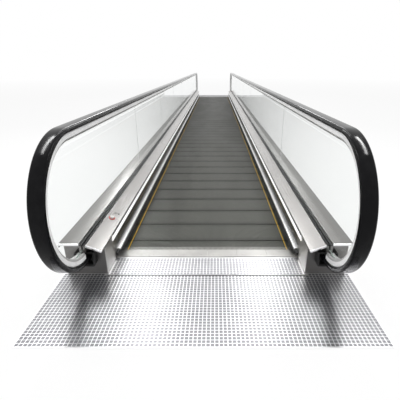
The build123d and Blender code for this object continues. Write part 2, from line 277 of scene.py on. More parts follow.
class Finish:
    """A node tree under construction, with its Principled shader where it is a material's."""

    def __init__(self, tree, fixed=None):
        self.tree = tree
        self.shader = tree.nodes.get("Principled BSDF")
        for label, amount in (fixed or {}).items():
            self.shader.inputs[label].default_value = amount

    def node(self, kind, settings=None, sockets=None, output=0):
        """Add a node: its settings first, then the amounts or links of its sockets."""
        made = self.tree.nodes.new(kind)
        for label, setting in (settings or {}).items():
            setattr(made, label, setting)
        for label, amount in (sockets or {}).items():
            self.join(made.inputs[label], amount)
        return Value(self, made.outputs[output])

    def join(self, socket, amount):
        if isinstance(amount, Value):
            self.tree.links.new(amount.socket, socket)
        else:
            socket.default_value = amount

    def feed(self, label, amount):
        self.join(self.shader.inputs[label], amount)

    def place(self):
        """A point on the piece, in the walkway's own frame."""
        return self.node("ShaderNodeTexCoord", output="Object")

    def along(self, axis):
        """One coordinate of a point on the piece."""
        return self.node("ShaderNodeSeparateXYZ", sockets={0: self.place()}, output=axis)

    def noise(self, scale, detail=3.0, roughness=0.5):
        """Noise with its own number of spots in a metre along each axis."""
        spots = self.node("ShaderNodeMapping", sockets={"Vector": self.place(), "Scale": scale})
        sockets = {"Vector": spots, "Scale": 1.0, "Detail": detail, "Roughness": roughness}
        return self.node("ShaderNodeTexNoise", sockets=sockets, output="Fac")

    def ramp(self, factor, low, high):
        """A factor stretched so that low becomes 0 and high becomes 1."""
        sockets = {"Value": factor, "From Min": low, "From Max": high}
        return self.node("ShaderNodeMapRange", {"clamp": True}, sockets)

    def blend(self, factor, first, second):
        return self.node("ShaderNodeMix", {"data_type": "RGBA"}, {0: factor, 6: first, 7: second}, output=2)

    def bump(self, height, strength, distance):
        sockets = {"Height": height, "Strength": strength, "Distance": distance}
        return self.node("ShaderNodeBump", sockets=sockets, output="Normal")


def new_finish(name, fixed):
    material = bpy.data.materials.new(name)
    material.use_nodes = True
    return material, Finish(material.node_tree, fixed)


def shade(colour, amount=1.0):
    """A colour made lighter or darker, with full alpha."""
    return tuple(min(part * amount, 1.0) for part in colour[:3]) + (1.0,)


def brushed_steel(name, colour, grain, roughness, contrast=0.12, coating=None):
    """Stainless steel with a brushed grain and faint hand smears.

    A coating covers the steel between the comb lines and fades out past them.
    """
    material, finish = new_finish(name, {"Metallic": 1.0})
    lines = finish.noise(grain, 4.0, 0.7)
    smears = finish.noise((2.3, 0.9, 2.3), 4.0)
    tone = finish.ramp(lines * 0.5 + smears * 0.5, 0.3, 0.7)
    surface = finish.blend(tone, shade(colour, 1 - contrast), shade(colour, 1 + contrast))
    haze = roughness + smears * 0.10 + lines * 0.08
    if coating:
        bare = finish.ramp(abs(finish.along("Y")), COMB_LINE + 0.04, COMB_LINE + 0.20)
        coat = finish.blend(tone, shade(coating, 0.80), shade(coating, 1.20))
        surface = finish.blend(bare, coat, surface)
        haze = haze + bare * 0.16
    finish.feed("Base Color", surface)
    finish.feed("Roughness", haze)
    finish.feed("Normal", finish.bump(lines, 0.12, 0.0004))
    return material


def worn_alloy(name, colour, roughness, spots=90.0, metallic=1.0):
    """Cast or drawn alloy with a fine grain and stains."""
    material, finish = new_finish(name, {"Metallic": metallic})
    grain = finish.noise((spots * 6, spots * 6, spots * 6), 3.0)
    stains = finish.noise((5.0, 5.0, 5.0), 5.0, 0.6)
    tone = finish.ramp(stains * 0.7 + grain * 0.3, 0.35, 0.65)
    finish.feed("Base Color", finish.blend(tone, shade(colour, 0.82), shade(colour, 1.12)))
    finish.feed("Roughness", roughness + grain * 0.12 + stains * 0.10)
    finish.feed("Normal", finish.bump(grain, 0.10, 0.0005))
    return material


def moulded_plastic(name, colour, roughness, gloss=0.5):
    """Moulded plastic or rubber with a fine skin and a little dust."""
    material, finish = new_finish(name, {"Metallic": 0.0, "Specular IOR Level": gloss})
    skin = finish.noise((900.0, 900.0, 900.0), 2.0)
    dust = finish.noise((9.0, 3.0, 9.0), 5.0, 0.65)
    dusty = finish.ramp(dust, 0.45, 0.85)
    lighter = tuple(part * 0.8 + 0.012 for part in colour) + (1.0,)
    finish.feed("Base Color", finish.blend(dusty, shade(colour), lighter))
    finish.feed("Roughness", roughness + dusty * 0.14 + skin * 0.05)
    finish.feed("Normal", finish.bump(skin, 0.06, 0.0003))
    return material


def pallet_alloy(name, colours, sizes):
    """Dark pallet alloy: worn bright on the cleats and darker lower down in the grooves, with painted shade
    darkening the pallets towards each joint.
    """
    material, finish = new_finish(name, {"Metallic": 0.6})
    stains = finish.noise((3.0, 1.2, 3.0), 5.0, 0.6)
    grain = finish.noise((300.0, 60.0, 300.0), 3.0)
    high = finish.ramp(finish.along("Z"), FLOOR - 0.35 * sizes.cleat_height, FLOOR)
    shift = COMB_LINE - sizes.first_joint + sizes.pallet_pitch / 2
    joint = (finish.along("Y") + shift) % sizes.pallet_pitch
    # Painted shade: within a few centimetres of each joint the cleats stay dark and unworn.
    away_from_joint_shade = finish.ramp(abs(joint - sizes.pallet_pitch / 2), 0.006, 0.060)
    wear_and_joint_shade = high * (0.25 + stains * 0.6 + grain * 0.3) * (0.15 + away_from_joint_shade * 0.85)
    finish.feed("Base Color", finish.blend(wear_and_joint_shade, shade(colours.pallet), shade(colours.cleat_wear)))
    finish.feed("Roughness", 0.40 + stains * 0.25 - high * 0.08)
    finish.feed("Normal", finish.bump(grain, 0.10, 0.0005))
    return material


def line_paint(name, colour):
    """Paint of the edge lines, rubbed through in places."""
    material, finish = new_finish(name, {"Metallic": 0.0})
    rubbed = finish.ramp(finish.noise((40.0, 9.0, 40.0), 6.0, 0.7), 0.50, 0.75)
    finish.feed("Base Color", finish.blend(rubbed, shade(colour), shade(colour, 0.55)))
    finish.feed("Roughness", 0.45 + rubbed * 0.25)
    return material


def edged_strip(name, colour, rubber_and_shade_edge_colour, low, high, metallic, painted_glow=0.0):
    """A long strip whose lower and upper edges are black rubber, on the skirt trim also painted shade;
    where the strip glows by emission, that is painted light.
    """
    material, finish = new_finish(name, {"Specular IOR Level": 0.15, "Emission Strength": painted_glow})
    level = finish.along("Z")
    middle = (level > low) * (high > level)
    stains = finish.noise((7.0, 1.6, 7.0), 5.0, 0.6)
    tone = finish.ramp(stains, 0.30, 0.70)
    strip = finish.blend(tone, shade(colour, 0.88), shade(colour, 1.05))
    # Black rubber edging; on the skirt trim these bands also paint the shade in the gaps above and below
    # the trim.
    edge = finish.blend(tone, shade(rubber_and_shade_edge_colour), shade(rubber_and_shade_edge_colour, 1.8))
    finish.feed("Base Color", finish.blend(middle, edge, strip))
    finish.feed("Metallic", middle * metallic)
    finish.feed("Roughness", 0.30 + stains * 0.16)
    # Painted light: the strip's middle glows by its own emission, though it is no lamp.
    if painted_glow:
        finish.feed("Emission Color", finish.blend(middle, (0.0, 0.0, 0.0, 1.0), strip))
    return material


def etched_steel(name, colour, roughness):
    """Etched steel of the raised squares, with stains."""
    material, finish = new_finish(name, {"Metallic": 1.0})
    grain = finish.noise((700.0, 700.0, 700.0), 2.0)
    stains = finish.noise((6.0, 6.0, 6.0), 6.0, 0.65)
    tone = finish.ramp(stains, 0.30, 0.70)
    finish.feed("Base Color", finish.blend(tone, shade(colour, 0.75), shade(colour, 1.1)))
    finish.feed("Roughness", roughness + grain * 0.15 + stains * 0.10)
    finish.feed("Normal", finish.bump(grain, 0.25, 0.0004))
    return material


def clear_glass(name, colour):
    """Clear toughened glass with a faint film of dust."""
    material, finish = new_finish(name, {"Transmission Weight": 1.0, "IOR": 1.10})
    film = finish.noise((4.0, 1.5, 4.0), 5.0)
    finish.feed("Base Color", finish.blend(film, shade(colour), shade(colour, 0.97)))
    finish.feed("Roughness", finish.ramp(film, 0.45, 1.0) * 0.03)
    return material


def polished_edge(name, colour, clearness):
    """Ground and polished glass edge."""
    material, finish = new_finish(name, {"Transmission Weight": clearness, "IOR": 1.45})
    grain = finish.noise((120.0, 120.0, 120.0), 3.0)
    finish.feed("Base Color", finish.blend(grain, shade(colour, 0.85), shade(colour, 1.15)))
    finish.feed("Roughness", 0.18 + grain * 0.12)
    return material


def add_piece(name, bm, materials, nodes=(), smooth=None):
    """Make an object of a finished bmesh, to ride with the walkway and stand for its nodes."""
    mesh = bpy.data.meshes.new(name)
    bm.to_mesh(mesh)
    bm.free()
    for material in materials:
        mesh.materials.append(material)
    if smooth is not None:
        mesh.shade_smooth()
        mesh.set_sharp_from_angle(angle=math.radians(smooth))
    piece = bpy.data.objects.new(name, mesh)
    bpy.context.scene.collection.objects.link(piece)
    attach(piece, "root")
    if nodes:
        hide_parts(*nodes)
    return piece


def coat_nodes(material, *nodes):
    """Give nodes that stay in view their finish."""
    for node in nodes:
        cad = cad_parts[node]
        if not cad.material_slots:
            cad.data.materials.append(material)
        for slot in cad.material_slots:
            slot.material = material


def block(bm, low, high):
    """A box between two corners."""
    low, high = Vector(low), Vector(high)
    matrix = Matrix.Translation((low + high) / 2) @ Matrix.Diagonal((*(high - low), 1.0))
    return bmesh.ops.create_cube(bm, size=1.0, matrix=matrix)["verts"]


def edges_of(verts):
    """The edges that run between some vertices."""
    chosen = set(verts)
    return list({edge for vert in verts for edge in vert.link_edges if set(edge.verts) <= chosen})


def faces_of(verts):
    """The faces that lie between some vertices."""
    chosen = set(verts)
    return list({face for vert in verts for face in vert.link_faces if set(face.verts) <= chosen})


def soften(bm, geom, width, segments=2, affect="EDGES"):
    """Round off edges or corners."""
    return bmesh.ops.bevel(
        bm,
        geom=geom,
        offset=width,
        offset_type="OFFSET",
        affect=affect,
        segments=segments,
        profile=0.5,
        material=-1,
    )


def screw_head(bm, matrix, radius):
    """A low screw head with a round recess, in the piece's second material."""
    head = bmesh.ops.create_cone(
        bm,
        cap_ends=True,
        segments=16,
        radius1=radius,
        radius2=radius * 0.8,
        depth=0.0012,
        matrix=matrix,
    )["verts"]
    faces = faces_of(head)
    crown = max(faces, key=lambda face: face.normal.dot(matrix.col[2].xyz))
    bmesh.ops.inset_individual(bm, faces=[crown], thickness=radius * 0.35, depth=0.0)
    bmesh.ops.inset_individual(bm, faces=[crown], thickness=radius * 0.05, depth=-0.0009)
    for face in faces_of(head) + [crown]:
        face.material_index = 1


def outline(bm, points, roundings):
    """A closed outline of a few corners, each rounded by its own amount, left as bare edges."""
    known = set(bm.edges)
    verts = [bm.verts.new(point) for point in points]
    bm.faces.new(verts)
    for rounding in sorted(set(roundings) - {0.0}):
        corners = [vert for vert, amount in zip(verts, roundings) if amount == rounding]
        soften(bm, corners, rounding, 5, "VERTICES")
    edges = [edge for edge in bm.edges if edge not in known]
    faces = {face for edge in edges for face in edge.link_faces}
    bmesh.ops.delete(bm, geom=list(faces), context="FACES_ONLY")
    return edges


def run_on(bm, edges, shift):
    """Draw edges out along a straight run and give back the new ones."""
    drawn = bmesh.ops.extrude_edge_only(bm, edges=edges)["geom"]
    verts = [item for item in drawn if isinstance(item, bmesh.types.BMVert)]
    bmesh.ops.translate(bm, verts=verts, vec=shift)
    return edges_of(verts)


def turn_round(bm, edges, newel_y, degrees, steps):
    """Swing edges round a newel and give back the new ones."""
    verts = list({vert for edge in edges for vert in edge.verts})
    last = bmesh.ops.spin(
        bm,
        geom=verts + list(edges),
        cent=(0.0, newel_y, NEWEL_Z),
        axis=(1.0, 0.0, 0.0),
        dvec=(0.0, 0.0, 0.0),
        angle=math.radians(degrees),
        steps=steps,
        use_merge=False,
        use_duplicate=False,
    )["geom_last"]
    return [item for item in last if isinstance(item, bmesh.types.BMEdge)]


def close_up(bm):
    """Merge seams, fill open ends and point all faces outwards."""
    bmesh.ops.remove_doubles(bm, verts=bm.verts, dist=0.00002)
    rims = [edge for edge in bm.edges if edge.is_boundary]
    if rims:
        bmesh.ops.holes_fill(bm, edges=rims, sides=0)
    bmesh.ops.recalc_face_normals(bm, faces=bm.faces)


def raise_tiles(bm, faces, gap, height, draft):
    """Part a sheet of faces into single tiles and raise each one, its sides drawn in a little."""
    rims = bmesh.ops.inset_individual(bm, faces=faces, thickness=gap / 2, depth=0.0)["faces"]
    bmesh.ops.delete(bm, geom=rims, context="FACES")
    bmesh.ops.inset_individual(bm, faces=faces, thickness=draft, depth=height)


def tile_grid(bm, columns, rows, matrix):
    """A unit square, placed by a matrix, in columns and rows of faces."""
    grid = bmesh.ops.create_grid(bm, x_segments=columns, y_segments=rows, size=0.5, matrix=matrix)
    return faces_of(grid["verts"])


class WALKWAY_OT_landings(bpy.types.Operator):
    """Cover the landing and comb plates with their raised squares"""

    bl_idname = "walkway.landings"
    bl_label = "Landing Plates"

    def execute(self, context):
        sizes = context.scene.walkway_sizes
        colours = context.scene.walkway_colours
        ground = brushed_steel("landing_polish", colours.polish, (40.0, 8.0, 40.0), 0.22, 0.06)
        crowns = {
            "landing_plate": etched_steel("landing_squares", colours.etch, 0.24),
            # The comb plate's squares are a lighter copy of the landing's etched squares: painted sheen, as
            # if washed out by glare.
            "comb_plate": etched_steel("comb_plate_squares", shade(colours.etch, 1.35), 0.30),
        }
        rubber = moulded_plastic("plate_seal_rubber", colours.plastic, 0.45, 0.1)
        for end in ENDS:
            for plate, slot in (("landing_plate", "landing_steel"), ("comb_plate", "comb_plate_steel")):
                self.cover(f"{end}_{plate}", sizes, crowns[plate], slot)
            coat_nodes(ground, f"{end}_landing_plate", f"{end}_comb_plate")
            self.lay_seal(end, rubber)
        return {"FINISHED"}

    def lay_seal(self, end, material, half_width=0.005, proud=0.0014):
        """The rubber strip in the joint between comb plate and landing plate."""
        low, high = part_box(f"{end}_comb_plate")
        joint = max(low[1], high[1], key=abs)
        start, stop = joint - half_width, joint + half_width
        bm = bmesh.new()
        verts = block(bm, (low[0], start, FLOOR - 0.002), (high[0], stop, FLOOR + proud))
        ridges = [edge for edge in edges_of(verts) if min(v.co.z for v in edge.verts) > FLOOR]
        soften(bm, ridges, 0.0008, 2)
        add_piece(f"{end}_plate_seal", bm, [material])

    def cover(self, plate, sizes, material, slot):
        """Raised squares over a plate, left out where the comb plate lies in it."""
        low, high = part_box(plate)
        inner, outer = sorted((abs(low[1]), abs(high[1])))
        turn = math.copysign(1.0, low[1])
        if "comb_plate" in plate:
            inner = max(abs(corner[1]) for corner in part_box(plate.replace("comb_plate", "combs")))
        pitch = sizes.square_pitch
        columns = int((high[0] - low[0] - sizes.square_gap) / pitch)
        rows = int((outer - inner - sizes.square_gap / 2) / pitch)
        matrix = Matrix.Translation((0.0, turn * (inner + outer) / 2, high[2]))
        matrix = matrix @ Matrix.Diagonal((columns * pitch, rows * pitch, 1.0, 1.0))
        bm = bmesh.new()
        faces = tile_grid(bm, columns, rows, matrix)
        if "landing_plate" in plate:
            seam = max(abs(corner[1]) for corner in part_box(plate.replace("landing", "comb")))
            middles = {face: face.calc_center_median() for face in faces}
            notch = [
                face
                for face, at in middles.items()
                if abs(at.y) < seam + pitch / 2 and abs(at.x) < SKIRT_X + pitch
            ]
            faces = [face for face in faces if face not in notch]
            bmesh.ops.delete(bm, geom=notch, context="FACES")
        raise_tiles(bm, faces, sizes.square_gap, sizes.square_height, 0.0008)
        add_piece(f"{plate}_squares", bm, [material])


class WALKWAY_OT_pallets(bpy.types.Operator):
    """Lay the cleated pallets with their painted edge lines"""

    bl_idname = "walkway.pallets"
    bl_label = "Pallets"

    def execute(self, context):
        sizes = context.scene.walkway_sizes
        colours = context.scene.walkway_colours
        low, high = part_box("pallets")
        joints = [low[1]]
        joint = sizes.first_joint - COMB_LINE
        while joint < high[1]:
            joints.append(joint)
            joint += sizes.pallet_pitch
        joints.append(high[1])
        width = high[0] - low[0]
        foot = high[2] - sizes.cleat_height
        bm = bmesh.new()
        for start, stop in zip(joints, joints[1:]):
            start += sizes.pallet_joint / 2
            stop -= sizes.pallet_joint / 2
            block(bm, (low[0], start, low[2]), (high[0], stop, foot))
            matrix = Matrix.Translation((0.0, (start + stop) / 2, foot))
            matrix = matrix @ Matrix.Diagonal((width, stop - start, 1.0, 1.0))
            faces = tile_grid(bm, sizes.cleat_count, 1, matrix)
            raise_tiles(bm, faces, sizes.groove_width, sizes.cleat_height, 0.0004)
        for face in bm.faces:
            middle = face.calc_center_median()
            on_line = abs(abs(middle.x) - sizes.edge_line_place) < sizes.edge_line_width / 2
            on_crown = middle.z > high[2] - 0.001
            if on_line and on_crown:
                face.material_index = 1
        materials = [
            pallet_alloy("pallet_alloy", colours, sizes),
            line_paint("edge_line_paint", colours.edge_line),
        ]
        add_piece("pallet_rows", bm, materials, ["pallets"])
        return {"FINISHED"}


class WALKWAY_OT_combs(bpy.types.Operator):
    """Set the comb segments, whose teeth run in the grooves between the cleats"""

    bl_idname = "walkway.combs"
    bl_label = "Combs"

    def execute(self, context):
        sizes = context.scene.walkway_sizes
        colours = context.scene.walkway_colours
        materials = [
            worn_alloy("comb_alloy", colours.comb, 0.30),
            worn_alloy("comb_screw_steel", shade(colours.steel, 0.45), 0.30),
        ]
        for end, turn in ENDS.items():
            self.make_row(end, turn, sizes, materials)
        return {"FINISHED"}

    def make_row(self, end, turn, sizes, materials, joint=0.001, half_tooth=0.0015):
        """Comb segments of the far end, turned round for the near one."""
        node = f"{end}_combs"
        low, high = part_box(node)
        root = COMB_LINE + sizes.comb_root
        back = max(abs(low[1]), abs(high[1]))
        span = (high[0] - low[0]) / sizes.comb_segments
        bm = bmesh.new()
        for i in range(sizes.comb_segments):
            left = low[0] + span * i + joint / 2
            verts = block(bm, (left, root, FLOOR - 0.008), (left + span - joint, back, high[2]))
            ridge = [vert for vert in verts if vert.co.y > back - 0.001 and vert.co.z > FLOOR]
            bmesh.ops.translate(bm, verts=ridge, vec=(0.0, -0.006, 0.0))
            soften(bm, edges_of(ridge), 0.0015, 3)
            for share in (0.2, 0.8):
                place = Matrix.Translation((left + span * share, back - 0.030, high[2]))
                screw_head(bm, place, 0.0055)
        self.set_teeth(bm, sizes, root, high[2], half_tooth)
        if turn < 0:
            bmesh.ops.scale(bm, vec=(1.0, -1.0, 1.0), verts=bm.verts)
            bmesh.ops.reverse_faces(bm, faces=bm.faces)
        add_piece(f"{end}_comb_row", bm, materials, [node])

    def set_teeth(self, bm, sizes, root, top, half_tooth):
        """One pointed tooth, copied into each groove of the pallets."""
        low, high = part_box("pallets")
        pitch = (high[0] - low[0]) / sizes.cleat_count
        tooth = block(bm, (-half_tooth, COMB_LINE, FLOOR - 0.006), (half_tooth, root + 0.002, top))
        point = [vert for vert in tooth if vert.co.y < COMB_LINE + 0.001 and vert.co.z > FLOOR - 0.001]
        bmesh.ops.translate(bm, verts=point, vec=(0.0, 0.0, FLOOR - 0.002 - top))
        for i in range(1, sizes.cleat_count):
            copy = bmesh.ops.duplicate(bm, geom=tooth + edges_of(tooth) + faces_of(tooth))["geom"]
            verts = [item for item in copy if isinstance(item, bmesh.types.BMVert)]
            bmesh.ops.translate(bm, verts=verts, vec=(low[0] + pitch * i, 0.0, 0.0))
        bmesh.ops.delete(bm, geom=tooth, context="VERTS")


class WALKWAY_OT_handrails(bpy.types.Operator):
    """Run the handrail belts round their guides"""

    bl_idname = "walkway.handrails"
    bl_label = "Handrails"

    def execute(self, context):
        colours = context.scene.walkway_colours
        rubber = moulded_plastic("handrail_rubber", colours.rubber, 0.06, 0.10)
        # The guide's head is a whitened copy and its foot a darker copy of one alloy: painted light and
        # painted shade.
        guide_lit_and_shaded = [
            worn_alloy("guide_head_painted_light", colours.guide, 0.30, 60.0, 0.0),
            worn_alloy("guide_foot_painted_shade", shade(colours.guide, 0.62), 0.28, 60.0, 0.8),
        ]
        for side, turn in SIDES.items():
            self.make_belt(side, turn * GLASS_X, rubber)
            self.make_guide(side, turn * GLASS_X, guide_lit_and_shaded)
        return {"FINISHED"}

    def draw_section(self, bm, middle, half_corners):
        """Set a section over the far newel and draw it out over the near one.

        Corners are distances across and out from the newel centre, and their roundings.
        """
        mirrored = [(-across, out, rounding) for across, out, rounding in reversed(half_corners)]
        corners = half_corners + mirrored
        points = [(middle + across, NEWEL_Y, NEWEL_Z + out) for across, out, _ in corners]
        far = outline(bm, points, [rounding for _, _, rounding in corners])
        return far, run_on(bm, far, (0.0, -2 * NEWEL_Y, 0.0))

    def make_belt(self, side, middle, material, steps=56):
        """A closed C-shaped belt whose lips hook round the guide."""
        half = (BELT_HIGH[0] - BELT_LOW[0]) / 2
        top = BELT_RADIUS
        half_corners = [
            (half, top, 0.013),
            (half, top - 0.030, 0.009),
            (half - 0.020, top - 0.030, 0.003),
            (half - 0.020, top - 0.023, 0.002),
            (half - 0.010, top - 0.023, 0.002),
            (half - 0.010, top - 0.010, 0.004),
        ]
        bm = bmesh.new()
        near = self.draw_section(bm, middle, half_corners)[1]
        under = turn_round(bm, near, -NEWEL_Y, 180.0, steps)
        back = run_on(bm, under, (0.0, 2 * NEWEL_Y, 0.0))
        turn_round(bm, back, NEWEL_Y, 180.0, steps)
        close_up(bm)
        add_piece(f"{side}_handrail_belt", bm, [material], [f"{side}_handrail"], 40.0)

    def make_guide(self, side, middle, materials, steps=56, turn=176.0, foot=0.0605):
        """A rail with a head for the belt and a foot that grips the glass; the head is painted light, a
        whitened non-metal copy of the guide's alloy, and the foot is painted shade, a darker copy of it.
        """
        half_corners = [
            (0.017, BELT_RADIUS - 0.024, 0.0),
            (0.017, BELT_RADIUS - 0.033, 0.0),
            (0.028, BELT_RADIUS - 0.033, 0.002),
            (0.028, BELT_RADIUS - 0.061, 0.003),
            (0.020, BELT_RADIUS - 0.075, 0.002),
            (0.007, BELT_RADIUS - 0.068, 0.001),
        ]
        bm = bmesh.new()
        far, near = self.draw_section(bm, middle, half_corners)
        turn_round(bm, near, -NEWEL_Y, turn, steps)
        turn_round(bm, far, NEWEL_Y, -turn, steps)
        close_up(bm)
        for face in bm.faces:
            at = face.calc_center_median()
            past = max(abs(at.y) - NEWEL_Y, 0.0)
            if math.hypot(past, at.z - NEWEL_Z) < BELT_RADIUS - foot:
                # The foot takes the darker copy: painted shade.
                face.material_index = 1
        add_piece(f"{side}_guide_rail", bm, materials, [f"{side}_handrail_guide"], 30.0)


class WALKWAY_OT_glass(bpy.types.Operator):
    """Stand the glass panels in their channels"""

    bl_idname = "walkway.glass"
    bl_label = "Glass Panels"

    def execute(self, context):
        colours = context.scene.walkway_colours
        materials = [
            clear_glass("panel_glass", colours.glass),
            polished_edge("panel_rim", colours.glass_edge, 0.6),
            polished_edge("panel_joint", shade(colours.glass, 0.96), 1.0),
        ]
        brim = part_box("right_glass_channel")[1][2] - 0.003
        alloy = shade(colours.steel, 0.6)
        channel = edged_strip("glass_channel_alloy", alloy, colours.plastic, -1.0, brim, 1.0)
        for side in SIDES:
            self.make_panels(side, materials)
            coat_nodes(channel, f"{side}_glass_channel")
        return {"FINISHED"}

    def make_panels(self, side, materials, count=8, joint=0.003):
        """Panels in a row, the outer two rounded, all cut level at the foot."""
        node = f"{side}_glass_panels"
        low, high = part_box(node)
        radius = high[2] - NEWEL_Z
        span = 2 * NEWEL_Y / count
        bm = bmesh.new()
        for i in range(count):
            round_ends = {0: low[1], count - 1: high[1]}
            start = low[1] if i == 0 else -NEWEL_Y + span * i + joint / 2
            stop = high[1] if i == count - 1 else -NEWEL_Y + span * (i + 1) - joint / 2
            foot = NEWEL_Z - radius if i in round_ends else low[2]
            verts = block(bm, (low[0], start, foot), (high[0], stop, high[2]))
            if i in round_ends:
                rim = [vert for vert in verts if abs(vert.co.y - round_ends[i]) < 0.001]
                across = [e for e in edges_of(rim) if abs(e.verts[0].co.x - e.verts[1].co.x) > 0.001]
                soften(bm, across, radius, 48)
        bmesh.ops.bisect_plane(
            bm,
            geom=bm.verts[:] + bm.edges[:] + bm.faces[:],
            plane_co=(0.0, 0.0, low[2]),
            plane_no=(0.0, 0.0, 1.0),
            clear_inner=True,
        )
        close_up(bm)
        for face in bm.faces:
            if abs(face.normal.x) < 0.5:
                at_end = abs(face.calc_center_median().y) > NEWEL_Y - span / 2
                face.material_index = 1 if at_end else 2
        add_piece(f"{side}_glass_sheets", bm, materials, [node], 30.0)


class WALKWAY_OT_decks(bpy.types.Operator):
    """Fold the inner and outer decks over the balustrade base"""

    bl_idname = "walkway.decks"
    bl_label = "Decks"

    def execute(self, context):
        colours = context.scene.walkway_colours
        grain = (700.0, 2.0, 700.0)
        inner = brushed_steel("inner_deck_steel", colours.steel, grain, 0.18)
        # The outer decks take a darker copy of the inner deck's steel: painted shade.
        outer = brushed_steel("outer_deck_shaded_steel", shade(colours.steel, 0.45), grain, 0.24)
        edge = brushed_steel("deck_edge_polish", colours.polish, (12.0, 12.0, 12.0), 0.10, 0.05)
        for side, turn in SIDES.items():
            self.fold_inner(side, turn, [inner, edge])
            self.fold_outer(side, turn, [outer, edge])
        return {"FINISHED"}

    def fold(self, turn, corners, node, materials, count=4, joint=0.001, nose=0.007):
        """A sheet through a few corners, in a few lengths, with a rolled edge at each end."""
        low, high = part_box(node)
        span = (high[1] - low[1] - 2 * nose) / count
        bm = bmesh.new()
        for i in range(count):
            start = low[1] + nose + span * i + joint / 2
            verts = [bm.verts.new((turn * across, start, level)) for across, level in corners]
            starts = [bm.edges.new(pair) for pair in zip(verts, verts[1:])]
            stops = run_on(bm, starts, (0.0, span - joint, 0.0))
            if i == 0:
                self.roll_edge(bm, starts, nose, -1)
            if i == count - 1:
                self.roll_edge(bm, stops, nose, 1)
        for face in bm.faces:
            if min(edge.calc_length() for edge in face.edges) < nose:
                face.material_index = 1
        bends = [edge for edge in bm.edges if len(edge.link_faces) == 2 and edge.calc_length() > 1.0]
        soften(bm, bends, 0.004, 4)
        bmesh.ops.recalc_face_normals(bm, faces=bm.faces)
        bmesh.ops.solidify(bm, geom=bm.faces[:], thickness=0.0025)
        bmesh.ops.recalc_face_normals(bm, faces=bm.faces)
        add_piece(f"{node}_cover", bm, materials, [node], 35.0)

    def roll_edge(self, bm, rim, nose, turn, lip_depth=0.006):
        """Roll the widest edge of a sheet's rim over and down."""
        front = max(rim, key=lambda edge: abs(edge.verts[0].co.x - edge.verts[1].co.x))
        left, right = sorted(front.verts, key=lambda vert: vert.co.x)
        along = (right.co - left.co).normalized()
        rise = Vector((-along.z, 0.0, along.x))
        rolled = bmesh.ops.spin(
            bm,
            geom=[left, right, front],
            cent=left.co - rise * nose,
            axis=along,
            dvec=(0.0, 0.0, 0.0),
            angle=turn * math.radians(-90.0),
            steps=6,
            use_merge=False,
            use_duplicate=False,
        )["geom_last"]
        lip = [item for item in rolled if isinstance(item, bmesh.types.BMEdge)]
        run_on(bm, lip, rise * -lip_depth)

    def fold_inner(self, side, turn, materials):
        node = f"{side}_inner_deck"
        low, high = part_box(node)
        inside, outside = sorted((abs(low[0]), abs(high[0])))
        rise, flange = 0.040, 0.012
        corners = [
            (inside, low[2]),
            (inside, high[2] - rise),
            (outside, high[2]),
            (outside, high[2] - flange),
        ]
        self.fold(turn, corners, node, materials)

    def fold_outer(self, side, turn, materials):
        node = f"{side}_outer_deck"
        low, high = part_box(node)
        inside, outside = sorted((abs(low[0]), abs(high[0])))
        flange = 0.012
        corners = [
            (inside, high[2] - flange),
            (inside, high[2]),
            (outside, high[2]),
            (outside, low[2]),
        ]
        self.fold(turn, corners, node, materials)


